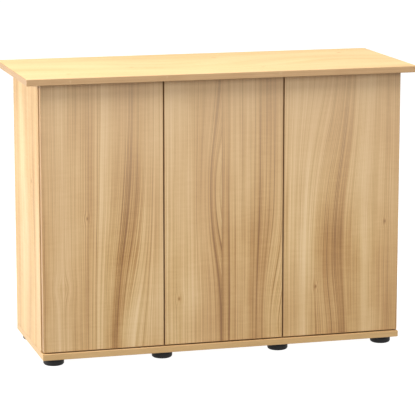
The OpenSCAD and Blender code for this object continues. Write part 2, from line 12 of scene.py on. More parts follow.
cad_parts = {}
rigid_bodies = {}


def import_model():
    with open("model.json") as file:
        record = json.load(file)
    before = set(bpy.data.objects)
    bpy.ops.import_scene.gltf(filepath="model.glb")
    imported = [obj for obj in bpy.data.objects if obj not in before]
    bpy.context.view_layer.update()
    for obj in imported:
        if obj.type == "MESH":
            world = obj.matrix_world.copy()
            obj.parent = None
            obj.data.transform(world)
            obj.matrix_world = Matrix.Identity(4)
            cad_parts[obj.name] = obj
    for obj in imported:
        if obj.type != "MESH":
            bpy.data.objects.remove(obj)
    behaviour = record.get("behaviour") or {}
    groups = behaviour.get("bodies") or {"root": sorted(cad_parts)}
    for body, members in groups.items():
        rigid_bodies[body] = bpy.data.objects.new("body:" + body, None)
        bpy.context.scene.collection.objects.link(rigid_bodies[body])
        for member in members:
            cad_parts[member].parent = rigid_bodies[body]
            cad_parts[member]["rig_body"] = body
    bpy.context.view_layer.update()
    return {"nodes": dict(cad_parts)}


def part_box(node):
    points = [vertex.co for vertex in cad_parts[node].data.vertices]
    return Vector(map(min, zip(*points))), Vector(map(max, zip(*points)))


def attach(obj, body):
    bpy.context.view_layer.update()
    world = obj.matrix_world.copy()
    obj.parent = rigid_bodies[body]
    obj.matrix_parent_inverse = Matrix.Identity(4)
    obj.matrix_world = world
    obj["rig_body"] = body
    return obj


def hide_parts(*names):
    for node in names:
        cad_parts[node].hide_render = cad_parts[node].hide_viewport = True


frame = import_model()

log = logging.getLogger("stand")

Socket = bpy.types.NodeSocket
Colour = tuple[float, float, float]
X = 0
Z = 2
MERGE = 1e-6


def tint(red: int, green: int, blue: int) -> Colour:
    """Turn a paint-card colour of 0 to 255 into a linear one.

    Args:
        red: Red of the card.
        green: Green of the card.
        blue: Blue of the card.

    Returns:
        The linear colour.
    """
    def straight(level: float) -> float:
        """Linear value of one channel."""
        return level / 12.92 if level <= 0.04045 else ((level + 0.055) / 1.055) ** 2.4

    return straight(red / 255), straight(green / 255), straight(blue / 255)


class Grain(Enum):
    """The way the grain of a board runs."""

    ALONG_X = "along_x"
    UPRIGHT = "upright"

    @property
    def axis(self) -> int:
        """Axis that the grain follows."""
        return X if self is Grain.ALONG_X else Z


class Tree:
    """The node tree of one finish, with short ways to add to it."""

    def __init__(self, name: str) -> None:
        """Start a tree that holds only its shader.

        Args:
            name: Name of the finish.
        """
        self.finish = bpy.data.materials.new(name)
        self.finish.use_nodes = True
        self.nodes = self.finish.node_tree.nodes
        self.links = self.finish.node_tree.links
        self.nodes.clear()
        output = self.nodes.new("ShaderNodeOutputMaterial")
        self.shader = self.nodes.new("ShaderNodeBsdfPrincipled")
        self.links.new(self.shader.outputs[0], output.inputs["Surface"])
        self.place = self.nodes.new("ShaderNodeTexCoord").outputs["Object"]
        split = self.nodes.new("ShaderNodeSeparateXYZ")
        self.links.new(self.place, split.inputs[0])
        self.axes = tuple(split.outputs)

    def feed(self, socket: Socket, value: Socket | float | Sequence[float]) -> None:
        """Link a socket to another, or set it to a plain value.

        Args:
            socket: The input.
            value: Where it comes from, or what it is.
        """
        if isinstance(value, Socket):
            self.links.new(value, socket)
        else:
            socket.default_value = value

    def maths(self, operation: str, *values: Socket | float) -> Socket:
        """Work out one value from others.

        Args:
            operation: Name of the operation.
            values: Its inputs in order.

        Returns:
            The result.
        """
        node = self.nodes.new("ShaderNodeMath")
        node.operation = operation
        for socket, value in zip(node.inputs, values):
            self.feed(socket, value)
        return node.outputs[0]

    def add(self, *values: Socket | float) -> Socket:
        """Sum of two or more values.

        Args:
            values: What is summed.

        Returns:
            The sum.
        """
        total = values[0]
        for value in values[1:]:
            total = self.maths("ADD", total, value)
        return total

    def times(self, first: Socket | float, second: Socket | float) -> Socket:
        """Product of two values."""
        return self.maths("MULTIPLY", first, second)

    def about(self, value: Socket, gain: float, middle: float = 0.5) -> Socket:
        """Gain times how far a value is from the middle of its range."""
        return self.maths("MULTIPLY_ADD", value, gain, -gain * middle)

    def vector(self, *parts: Socket | float) -> Socket:
        """Three values as one vector.

        Args:
            parts: The values for X, Y and Z.

        Returns:
            The vector.
        """
        node = self.nodes.new("ShaderNodeCombineXYZ")
        for socket, value in zip(node.inputs, parts):
            self.feed(socket, value)
        return node.outputs[0]

    def stretched(self, rates: Sequence[float], seed: float = 0.0) -> Socket:
        """The place in metres with each axis multiplied by its own rate.

        Args:
            rates: Rates along X, Y and Z.
            seed: Shift of all three.

        Returns:
            The vector.
        """
        return self.vector(*(self.maths("MULTIPLY_ADD", axis, rate, seed)
                             for axis, rate in zip(self.axes, rates)))

    def noise(self, vector: Socket, detail: float = 2.0, roughness: float = 0.5,
              scale: float = 1.0) -> Socket:
        """Smooth noise from 0 to 1.

        Args:
            vector: Where it is read.
            detail: Number of finer layers.
            roughness: Share of each finer layer.
            scale: Features in a unit of the vector.

        Returns:
            The noise.
        """
        node = self.nodes.new("ShaderNodeTexNoise")
        self.feed(node.inputs["Vector"], vector)
        node.inputs["Scale"].default_value = scale
        node.inputs["Detail"].default_value = detail
        node.inputs["Roughness"].default_value = roughness
        return node.outputs[0]

    def cells(self, vector: Socket, scale: float) -> Socket:
        """Distance to the nearest of scattered points.

        Args:
            vector: Where it is read.
            scale: Points in a unit of the vector.

        Returns:
            The distance, 0 at a point.
        """
        node = self.nodes.new("ShaderNodeTexVoronoi")
        self.feed(node.inputs["Vector"], vector)
        node.inputs["Scale"].default_value = scale
        return node.outputs["Distance"]

    def ramp(self, factor: Socket, stops: Sequence[tuple[float, Colour]]) -> Socket:
        """Colours along a factor.

        Args:
            factor: From 0 to 1.
            stops: Where each colour stands.

        Returns:
            The colour.
        """
        node = self.nodes.new("ShaderNodeValToRGB")
        self.feed(node.inputs[0], factor)
        marks = node.color_ramp.elements
        while len(marks) < len(stops):
            marks.new(0.5)
        for mark, (position, _) in zip(marks, stops):
            mark.position = position
        for mark, (_, colour) in zip(marks, stops):
            mark.color = (*colour, 1.0)
        return node.outputs["Color"]

    def levels(self, factor: Socket, stops: Sequence[tuple[float, float]]) -> Socket:
        """Plain values along a factor.

        Args:
            factor: From 0 to 1.
            stops: Where each value stands.

        Returns:
            The value.
        """
        colour = self.ramp(factor, [(place, (value, value, value)) for place, value in stops])
        node = self.nodes.new("ShaderNodeSeparateColor")
        self.feed(node.inputs[0], colour)
        return node.outputs[0]

    def blend(self, factor: Socket | float, first: Socket | Colour,
              second: Socket | Colour) -> Socket:
        """Mix of two colours.

        Args:
            factor: Share of the second colour.
            first: First colour.
            second: Second colour.

        Returns:
            The mixed colour.
        """
        node = self.nodes.new("ShaderNodeMix")
        node.data_type = "RGBA"
        self.feed(node.inputs[0], factor)
        for socket, colour in zip((node.inputs[6], node.inputs[7]), (first, second)):
            self.feed(socket, colour if isinstance(colour, Socket) else (*colour, 1.0))
        return node.outputs[2]

    def relief(self, height: Socket, depth: float, strength: float = 1.0) -> None:
        """Raise and sink the surface.

        Args:
            height: From 0, low, to 1, high.
            depth: Metres between low and high.
            strength: How far the relief shows.
        """
        node = self.nodes.new("ShaderNodeBump")
        node.inputs["Strength"].default_value = strength
        node.inputs["Distance"].default_value = depth
        self.feed(node.inputs["Height"], height)
        self.feed(self.shader.inputs["Normal"], node.outputs[0])

    def fix(self, **values: float) -> None:
        """Set numbers on the shader's own sockets.

        Args:
            values: Sockets by name, with _ for a space.
        """
        for name, value in values.items():
            self.shader.inputs[name.replace("_", " ")].default_value = value


@dataclass(frozen=True)
class Knot:
    """A small knot that the grain runs round."""

    across: float
    along: float
    radius: float = 0.0035
    depth: float = 0.5


@dataclass(frozen=True)
class Sweep:
    """A place where the grain lines bow sideways, in shares of the board's width and length."""

    across: float
    along: float
    width: float
    length: float
    pull: float
    one_sided: bool = False


@dataclass(frozen=True)
class GrainReader:
    """Reads noise along the lines of a board's grain."""

    tree: Tree
    side: Socket
    far: Socket
    deep: Socket
    seed: float

    def streaks(self, rate: float, drag: float, shift: float, detail: float = 2.0) -> Socket:
        """Noise drawn out along the grain.

        Args:
            rate: Features in a metre across the grain.
            drag: Features in a metre along it.
            shift: Sets this layer apart from the others.
            detail: Number of finer layers.

        Returns:
            The noise, from 0 to 1.
        """
        place = self.tree.vector(
            self.tree.times(self.side, rate),
            self.tree.times(self.far, drag),
            self.tree.add(self.deep, self.seed + shift))
        return self.tree.noise(place, detail, 0.6)


@dataclass(frozen=True)
class Strengths:
    """How far each layer of the grain darkens or lightens the decor."""

    clouds: float = 0.62
    broad: float = 0.60
    lines: float = 0.50
    fine: float = 1.15
    ripple: float = 0.14
    pins: float = 0.24
    rings: float = 0.12
    pores: float = 0.10


@dataclass(frozen=True)
class DecorFinish:
    """Printed wood decor with a satin, finely pored surface."""

    name: str
    grain: Grain
    seed: float
    tones: tuple[tuple[float, float], ...] = ((0.0, 0.42), (0.5, 0.46), (1.0, 0.42))
    knots: tuple[Knot, ...] = ()
    sweeps: tuple[Sweep, ...] = ()
    layers: Strengths = Strengths()
    contrast: float = 1.0
    wander: float = 0.012
    rings_per_metre: float = 62.0
    gloss_roughness: float = 0.36
    colours: tuple[tuple[float, Colour], ...] = (
        (0.0, tint(236, 207, 160)),
        (0.3, tint(221, 187, 134)),
        (0.5, tint(205, 166, 110)),
        (0.72, tint(182, 137, 82)),
        (1.0, tint(132, 90, 48)),
    )
    blush: Colour = tint(212, 172, 128)
    # upper is painted light: a pale greyish tone that the boards turn towards near their tops, standing
    # for how the light falls there
    upper: Colour = tint(218, 188, 152)
    upper_painted_light_share: float = 0.0

    def grain_share(self, tree: Tree, across: Socket, along: Socket,
                    size: tuple[float, float]) -> tuple[Socket, Socket]:
        """Bend the lines round the knots and through the sweeps.

        Args:
            tree: Tree of this finish.
            across: Share of the board's width.
            along: Share of its length.
            size: Width and length in metres.

        Returns:
            The line that each point lies on, as a share of the width, and the knots' darkness.
        """
        place = tree.vector(tree.times(across, 2.0), tree.times(along, 1.6), self.seed)
        line = tree.add(across, tree.about(tree.noise(place, 2.0), 2 * self.wander))
        for sweep in self.sweeps:
            aside = tree.maths("SUBTRACT", across, sweep.across)
            apart = tree.maths("ABSOLUTE", aside)
            first = tree.maths("POWER", tree.times(apart, 1 / sweep.width), 2.0)
            off = tree.maths("ABSOLUTE", tree.maths("SUBTRACT", along, sweep.along))
            second = tree.maths("POWER", tree.times(off, 1 / sweep.length), 2.0)
            bow = tree.maths("EXPONENT", tree.times(tree.add(first, second), -1.0))
            if sweep.one_sided:
                bow = tree.times(bow, tree.maths("LESS_THAN", aside, 0.0))
            line = tree.add(line, tree.times(bow, sweep.pull))
        dark = 0.0
        for knot in self.knots:
            aside = tree.maths("SUBTRACT", across, knot.across)
            off = tree.maths("SUBTRACT", along, knot.along)
            first = tree.times(aside, size[0] / knot.radius)
            second = tree.times(off, size[1] / (1.6 * knot.radius))
            away = tree.add(tree.times(first, first), tree.times(second, second))
            round_it = tree.maths("EXPONENT", tree.times(away, -0.12))
            line = tree.add(line, tree.times(tree.times(aside, round_it), -0.8))
            core = tree.maths("EXPONENT", tree.times(away, -0.9))
            dark = tree.add(dark, tree.times(core, knot.depth))
        return line, dark

    def tone(self, tree: Tree, grain: GrainReader, start: Socket, fine: Socket,
             pores: Socket) -> Socket:
        """Lay the layers of the grain over each other.

        Args:
            tree: Tree of this finish.
            grain: Reads noise along the grain.
            start: Tone before any layer.
            fine: Noise of the fine lines.
            pores: Noise of the pores.

        Returns:
            The tone, from 0, light, to 1, dark.
        """
        broad = grain.streaks(14, 0.9, 3.0)
        lines = grain.streaks(260, 1.0, 11.0, 3.0)
        pins = tree.levels(grain.streaks(520, 0.7, 29.0, 1.0), ((0.56, 0.0), (0.68, 1.0)))
        ripple = grain.streaks(26, 170.0, 37.0, 1.0)
        clouds = grain.streaks(9, 3.2, 53.0)
        phase = tree.add(tree.times(grain.side, self.rings_per_metre), tree.times(broad, 4.0))
        rings = tree.maths("POWER", tree.maths("FRACT", phase), 5.0)
        shown = tree.levels(grain.streaks(26, 1.7, 31.0, 1.0), ((0.45, 0.0), (0.68, 1.0)))
        return tree.add(
            start,
            tree.about(clouds, self.layers.clouds * self.contrast),
            tree.about(broad, self.layers.broad * self.contrast),
            tree.about(lines, self.layers.lines * self.contrast),
            tree.about(fine, self.layers.fine * self.contrast),
            tree.about(ripple, self.layers.ripple * self.contrast),
            tree.times(pins, self.layers.pins * self.contrast),
            tree.times(tree.times(rings, shown), self.layers.rings * self.contrast),
            tree.times(tree.levels(pores, ((0.64, 0.0), (0.74, 1.0))), self.layers.pores),
        )

    def dress(self, low: Vector, high: Vector) -> bpy.types.Material:
        """Make the finish for one board.

        Args:
            low: Lowest corner of the board.
            high: Its highest corner.

        Returns:
            The finish.
        """
        tree = Tree(self.name)
        size = high - low
        thin = min(range(3), key=lambda axis: size[axis])
        run = self.grain.axis
        cross = 3 - thin - run
        across = tree.times(tree.maths("SUBTRACT", tree.axes[cross], low[cross]), 1 / size[cross])
        along = tree.times(tree.maths("SUBTRACT", tree.axes[run], low[run]), 1 / size[run])
        line, dark = self.grain_share(tree, across, along, (size[cross], size[run]))
        grain = GrainReader(tree, tree.times(line, size[cross]), tree.times(along, size[run]),
                            tree.times(tree.axes[thin], 3.0), self.seed)
        fine = grain.streaks(760, 2.2, 17.0)
        pores = grain.streaks(2100, 70.0, 23.0, 1.0)
        start = tree.add(tree.levels(line, self.tones), dark)
        colour = tree.ramp(self.tone(tree, grain, start, fine, pores), self.colours)
        warm = tree.levels(grain.streaks(7, 1.1, 41.0, 1.0), ((0.4, 0.0), (0.75, 0.35)))
        colour = tree.blend(warm, colour, self.blush)
        # Painted light: blend towards the upper colour from 35% of the length up, paler and greyer
        # towards the top
        if self.upper_painted_light_share:
            painted_upper_light = tree.levels(along, ((0.35, 0.0), (1.0, self.upper_painted_light_share)))
            colour = tree.blend(painted_upper_light, colour, self.upper)
        tree.feed(tree.shader.inputs["Base Color"], colour)
        rubbed = tree.levels(tree.noise(tree.place, 3.0, 0.6, 5.0), ((0.4, 0.0), (0.7, 0.08)))
        tree.feed(tree.shader.inputs["Roughness"],
                  tree.add(self.gloss_roughness, tree.times(fine, 0.12), tree.times(pores, 0.06),
                           rubbed))
        tree.relief(tree.add(tree.times(fine, -0.4), tree.times(pores, -0.5)), 0.00006, 0.6)
        tree.fix(Specular_IOR_Level=0.42)
        return tree.finish


@dataclass(frozen=True)
class EdgeFinish:
    """Edge band in the same decor, its lines along the edge, with a few pale scuffs."""

    name: str = "edge_band"
    # light and dark are painted darker than the base board's band: painted shade for the top board's
    # front edge, shared by every board but the base
    light: Colour = tint(202, 166, 121)
    dark: Colour = tint(168, 129, 86)
    scuff: Colour = tint(226, 200, 160)
    seed: float = 4.0

    def dress(self, low: Vector, high: Vector) -> bpy.types.Material:
        """Make the finish for one board.

        Args:
            low: Lowest corner of the board.
            high: Its highest corner.

        Returns:
            The finish.
        """
        tree = Tree(self.name)
        size = high - low
        thin = min(range(3), key=lambda axis: size[axis])
        rates = [1400.0 if axis == thin else 3.0 for axis in range(3)]
        streak = tree.noise(tree.stretched(rates, self.seed), 3.0, 0.6)
        patch = tree.noise(tree.place, 2.0, 0.5, 14.0)
        mix = tree.add(tree.about(streak, 1.3), tree.about(patch, 0.5), 0.5)
        scuffs = tree.levels(tree.noise(tree.place, 4.0, 0.7, 38.0), ((0.64, 0.0), (0.8, 0.35)))
        tree.feed(tree.shader.inputs["Base Color"],
                  tree.blend(scuffs, tree.ramp(mix, ((0.0, self.light), (1.0, self.dark))), self.scuff))
        tree.feed(tree.shader.inputs["Roughness"],
                  tree.add(0.36, tree.times(streak, 0.12), tree.times(scuffs, 0.3)))
        tree.relief(streak, 0.00005, 0.5)
        return tree.finish


@dataclass(frozen=True)
class ChipboardFinish:
    """Raw pressed chips, seen in bores and grooves."""

    name: str = "chipboard_core"
    light: Colour = tint(206, 172, 126)
    dark: Colour = tint(132, 96, 58)

    def dress(self) -> bpy.types.Material:
        """Make the finish.

        Returns:
            The finish.
        """
        tree = Tree(self.name)
        chips = tree.cells(tree.place, 620.0)
        dust = tree.noise(tree.place, 3.0, 0.6, 900.0)
        mix = tree.add(tree.times(chips, 0.7), tree.about(dust, 0.8, 0.4))
        tree.feed(tree.shader.inputs["Base Color"],
                  tree.ramp(mix, ((0.1, self.light), (0.9, self.dark))))
        tree.feed(tree.shader.inputs["Roughness"], tree.add(0.8, tree.times(dust, 0.15)))
        tree.relief(chips, 0.0004)
        return tree.finish


@dataclass(frozen=True)
class HardboardFinish:
    """Brown pressed fibre with the print of the wire screen."""

    name: str = "hardboard"
    light: Colour = tint(172, 130, 88)
    dark: Colour = tint(124, 86, 54)

    def dress(self) -> bpy.types.Material:
        """Make the finish.

        Returns:
            The finish.
        """
        tree = Tree(self.name)
        fibre = tree.noise(tree.stretched((420.0, 420.0, 260.0)), 4.0, 0.7)
        cloud = tree.noise(tree.place, 3.0, 0.5, 6.0)
        ribs = [tree.maths("SINE", tree.times(tree.axes[axis], 2600.0)) for axis in (X, Z)]
        screen = tree.times(ribs[0], ribs[1])
        mix = tree.add(tree.about(fibre, 0.9), tree.about(cloud, 0.7), tree.times(screen, 0.05), 0.5)
        tree.feed(tree.shader.inputs["Base Color"],
                  tree.ramp(mix, ((0.1, self.light), (0.9, self.dark))))
        tree.feed(tree.shader.inputs["Roughness"], tree.add(0.55, tree.times(fibre, 0.25)))
        tree.relief(tree.add(fibre, tree.times(screen, 0.3)), 0.0002, 0.6)
        return tree.finish


@dataclass(frozen=True)
class MetalFinish:
    """Plated or cast metal with fine brushing, faint stains and worn scratches."""

    name: str
    colour: Colour
    shade: Colour
    roughness: float = 0.30
    brushing: tuple[float, float, float] = (300.0, 300.0, 2200.0)
    grit: float = 0.00002

    def dress(self) -> bpy.types.Material:
        """Make the finish.

        Returns:
            The finish.
        """
        tree = Tree(self.name)
        brush = tree.noise(tree.stretched(self.brushing), 3.0, 0.6)
        stain = tree.noise(tree.place, 3.0, 0.55, 130.0)
        scratch = tree.levels(tree.noise(tree.stretched((90.0, 2600.0, 900.0), 5.0), 1.0),
                              ((0.66, 0.0), (0.72, 1.0)))
        mix = tree.add(tree.times(brush, 0.4), tree.times(stain, 0.6))
        tree.feed(tree.shader.inputs["Base Color"],
                  tree.ramp(mix, ((0.25, self.colour), (0.8, self.shade))))
        tree.feed(tree.shader.inputs["Roughness"],
                  tree.add(self.roughness, tree.about(stain, 0.14), tree.times(scratch, 0.12)))
        tree.relief(tree.add(tree.times(brush, 0.5), tree.times(scratch, -0.5)), self.grit, 0.5)
        tree.fix(Metallic=1.0)
        return tree.finish


@dataclass(frozen=True)
class PlasticFinish:
    """Moulded plastic with a fine spark-eroded texture and rubbed patches."""

    name: str
    colour: Colour
    rubbed: Colour
    roughness: float = 0.42
    texture: float = 1500.0

    def dress(self) -> bpy.types.Material:
        """Make the finish.

        Returns:
            The finish.
        """
        tree = Tree(self.name)
        fine = tree.noise(tree.place, 2.0, 0.6, self.texture)
        patch = tree.noise(tree.place, 3.0, 0.6, 70.0)
        tree.feed(tree.shader.inputs["Base Color"],
                  tree.ramp(patch, ((0.42, self.colour), (0.72, self.rubbed))))
        tree.feed(tree.shader.inputs["Roughness"],
                  tree.add(self.roughness, tree.about(patch, 0.20), tree.times(fine, 0.08)))
        tree.relief(fine, 0.00005, 0.6)
        tree.fix(Specular_IOR_Level=0.32)
        return tree.finish


@dataclass(frozen=True)
class RubberFinish:
    """Clear soft plastic of the door bumpers, a little cloudy."""

    name: str = "clear_bumper"
    colour: Colour = tint(236, 234, 226)
    cloud: Colour = tint(206, 202, 190)

    def dress(self) -> bpy.types.Material:
        """Make the finish.

        Returns:
            The finish.
        """
        tree = Tree(self.name)
        haze = tree.noise(tree.place, 3.0, 0.6, 500.0)
        tree.feed(tree.shader.inputs["Base Color"],
                  tree.ramp(haze, ((0.35, self.colour), (0.75, self.cloud))))
        tree.feed(tree.shader.inputs["Roughness"], tree.add(0.16, tree.times(haze, 0.2)))
        tree.relief(haze, 0.00003, 0.4)
        tree.fix(Transmission_Weight=0.6, IOR=1.46)
        return tree.finish


@dataclass(frozen=True)
class BeechFinish:
    """Turned beech with short flecks."""

    name: str
    run: int
    light: Colour = tint(226, 186, 136)
    dark: Colour = tint(184, 134, 84)

    def dress(self) -> bpy.types.Material:
        """Make the finish.

        Returns:
            The finish.
        """
        tree = Tree(self.name)
        rates = [120.0 if axis == self.run else 1500.0 for axis in range(3)]
        streak = tree.noise(tree.stretched(rates), 3.0, 0.6)
        fleck = tree.levels(tree.noise(tree.stretched([rate * 1.7 for rate in rates], 9.0), 1.0),
                            ((0.6, 0.0), (0.7, 0.4)))
        tree.feed(tree.shader.inputs["Base Color"],
                  tree.ramp(tree.add(streak, fleck), ((0.3, self.light), (0.9, self.dark))))
        tree.feed(tree.shader.inputs["Roughness"], tree.add(0.55, tree.times(streak, 0.2)))
        tree.relief(streak, 0.0001, 0.7)
        return tree.finish


@dataclass(frozen=True)
class FloorFinish:
    """Matt white paper roll that glows a little, as in a light tent."""

    name: str = "studio_floor"
    colour: Colour = (0.3, 0.3, 0.3)
    glow: float = 0.97

    def dress(self) -> bpy.types.Material:
        """Make the finish.

        Returns:
            The finish.
        """
        tree = Tree(self.name)
        tooth = tree.noise(tree.place, 3.0, 0.5, 300.0)
        tree.feed(tree.shader.inputs["Roughness"], tree.add(0.85, tree.times(tooth, 0.1)))
        tree.shader.inputs["Base Color"].default_value = (*self.colour, 1.0)
        tree.shader.inputs["Emission Color"].default_value = (1.0, 1.0, 1.0, 1.0)
        tree.fix(Emission_Strength=self.glow, Specular_IOR_Level=0.1)
        return tree.finish


def piece(name: str, mesh: bpy.types.Mesh) -> bpy.types.Object:
    """Put a mesh in the scene.

    Args:
        name: Name of the piece.
        mesh: Its mesh, in metres in the shared frame.

    Returns:
        The piece.
    """
    made = bpy.data.objects.new(name, mesh)
    bpy.context.scene.collection.objects.link(made)
    return made


def mesh_of(name: str, parts: bmesh.types.BMesh, smooth_below: float = 0.0) -> bpy.types.Mesh:
    """Turn edited geometry into a mesh, smooth where its faces meet gently.

    Args:
        name: Name of the mesh.
        parts: The geometry, which is freed.
        smooth_below: Angle in degrees under which an edge is smooth.

    Returns:
        The mesh.
    """
    bmesh.ops.recalc_face_normals(parts, faces=parts.faces)
    limit = math.radians(smooth_below)
    for face in parts.faces:
        face.smooth = smooth_below > 0
    for edge in parts.edges:
        edge.smooth = edge.is_manifold and edge.calc_face_angle(math.pi) < limit
    made = bpy.data.meshes.new(name)
    parts.to_mesh(made)
    parts.free()
    return made


def stand_in(made: bpy.types.Object, node: str, *others: str) -> None:
    """Let a piece stand for CAD nodes: same body, with the nodes hidden.

    Args:
        made: The piece.
        node: The node whose body it takes.
        others: Further nodes that it stands for.
    """
    source = frame["nodes"][node]
    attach(made, source["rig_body"])
    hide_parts(node, *others)


def refinish(node: str, finish: bpy.types.Material) -> None:
    """Give a CAD node that stays a new finish.

    Args:
        node: The node.
        finish: Its finish.
    """
    for holder in frame["nodes"][node].material_slots:
        holder.material = finish
    log.info("%s keeps its shape, finish %s", node, finish.name)


@dataclass
class Board:
    """A board cut from its CAD node, with rounded arrises and a finish for each kind of face."""

    node: str
    faces: DecorFinish
    core: bpy.types.Material
    rear: bpy.types.Material | None = None
    edges: EdgeFinish = field(default_factory=EdgeFinish)
    arris: float = 0.0011
    steps: int = 3
    clearance: float = 0.00001

    def blank(self, low: Vector, high: Vector) -> bpy.types.Object:
        """Make the uncut board with rounded arrises.

        Args:
            low: Lowest corner of the node.
            high: Its highest corner.

        Returns:
            The blank, a hair larger than the node.
        """
        parts = bmesh.new()
        bmesh.ops.create_cube(parts, size=1.0)
        size = high - low + Vector((2 * self.clearance,) * 3)
        parts.transform(Matrix.Translation((low + high) / 2) @ Matrix.Diagonal((*size, 1.0)))
        bmesh.ops.bevel(parts, geom=list(parts.edges), offset=self.arris,
                        segments=self.steps, profile=0.5, affect="EDGES")
        return piece(self.node + "_blank", mesh_of(self.node + "_blank", parts))

    def cutter(self) -> bpy.types.Object:
        """Closed copy of the CAD node with all its bores.

        Returns:
            The copy.
        """
        parts = bmesh.new()
        parts.from_mesh(frame["nodes"][self.node].data)
        bmesh.ops.remove_doubles(parts, verts=parts.verts, dist=MERGE)
        return piece(self.node + "_cutter", mesh_of(self.node + "_cutter", parts))

    def face_kind(self, face: bpy.types.MeshPolygon, low: Vector, high: Vector,
                  thin: int) -> int:
        """Tell which finish a face takes.

        Args:
            face: The face.
            low: Lowest corner of the board.
            high: Its highest corner.
            thin: Axis of the board's thickness.

        Returns:
            0 for the decor, 1 for the edge band, 2 for the core, 3 for a raw rear face.
        """
        near = 2 * self.clearance
        if abs(face.normal[thin]) > 0.999:
            if self.rear and high[thin] - face.center[thin] < near:
                return 3
            if min(face.center[thin] - low[thin], high[thin] - face.center[thin]) < near:
                return 0
        for axis in range(3):
            inset = min(face.center[axis] - low[axis], high[axis] - face.center[axis])
            if axis != thin and inset < self.arris:
                return 1
        return 2

    def build(self) -> None:
        """Cut, dress and place the board."""
        low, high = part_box(self.node)
        blank = self.blank(low, high)
        cutter = self.cutter()
        cut = blank.modifiers.new("bores", "BOOLEAN")
        cut.operation = "INTERSECT"
        cut.solver = "EXACT"
        cut.object = cutter
        graph = bpy.context.evaluated_depsgraph_get()
        mesh = bpy.data.meshes.new_from_object(blank.evaluated_get(graph))
        for spare in (blank, cutter):
            bpy.data.objects.remove(spare)
        mesh.materials.clear()
        for finish in (self.faces.dress(low, high), self.edges.dress(low, high), self.core, self.rear):
            if finish:
                mesh.materials.append(finish)
        thin = min(range(3), key=lambda axis: (high - low)[axis])
        for face in mesh.polygons:
            face.material_index = self.face_kind(face, low, high, thin)
        made = piece(self.node + "_board", mesh)
        stand_in(made, self.node)


@dataclass
class Carcass:
    """Top and base boards, uprights, rails, backs and shelves."""

    core: bpy.types.Material
    hardboard: bpy.types.Material

    def long_boards(self) -> None:
        """Build the top and the base board."""
        # Painted light: the top's paler, yellower blush makes it come out paler than the other boards
        # of the same decor, standing for its brightly lit face
        top = DecorFinish(
            "top_decor", Grain.ALONG_X, 2.0, contrast=0.5, wander=0.03, blush=tint(226, 200, 146),
            tones=((0.0, 0.34), (0.25, 0.26), (0.45, 0.34), (0.6, 0.24), (0.8, 0.32), (1.0, 0.28)),
            sweeps=(Sweep(0.45, 0.4, 0.3, 0.22, 0.2), Sweep(0.6, 0.85, 0.25, 0.2, -0.18)),
            knots=(Knot(0.2, 0.12), Knot(0.42, 0.3, 0.003), Knot(0.22, 0.62, 0.003),
                   Knot(0.75, 0.55, 0.003), Knot(0.8, 0.9)))
        base = DecorFinish("base_decor", Grain.ALONG_X, 8.0, contrast=0.9)
        Board("top_panel", top, self.core).build()
        # The base board's band keeps the lighter colours, with no painted shade
        band = EdgeFinish("base_edge_band", tint(220, 182, 126), tint(190, 150, 96), seed=9.0)
        Board("bottom_panel", base, self.core, edges=band).build()

    def uprights(self) -> None:
        """Build the side panels and the dividers."""
        for step, node in enumerate(("left_side_panel", "right_side_panel",
                                     "left_divider", "right_divider")):
            decor = DecorFinish(
                node + "_decor", Grain.UPRIGHT, 20.0 + 3 * step, contrast=0.9,
                tones=((0.0, 0.5), (0.12, 0.3), (0.22, 0.52), (0.4, 0.34), (0.55, 0.42),
                       (0.7, 0.28), (0.84, 0.5), (1.0, 0.4)),
                sweeps=(Sweep(0.45, 0.3 + 0.1 * step, 0.22, 0.3, 0.14),),
                knots=(Knot(0.3, 0.62), Knot(0.75, 0.22, 0.003)))
            Board(node, decor, self.core).build()

    def rear_and_shelves(self) -> None:
        """Build the rails, the hardboard backs and the shelves."""
        for step, bay in enumerate(("left", "middle", "right")):
            rail = DecorFinish(bay + "_rail_decor", Grain.ALONG_X, 40.0 + 3 * step)
            Board(bay + "_rear_rail", rail, self.core).build()
            lining = DecorFinish(bay + "_back_decor", Grain.UPRIGHT, 50.0 + 3 * step, contrast=0.8)
            Board(bay + "_back_panel", lining, self.hardboard, self.hardboard,
                  arris=0.0003, steps=1).build()
        for step, bay in enumerate(("left", "right")):
            shelf = DecorFinish(bay + "_shelf_decor", Grain.ALONG_X, 60.0 + 3 * step)
            Board(bay + "_shelf", shelf, self.core).build()


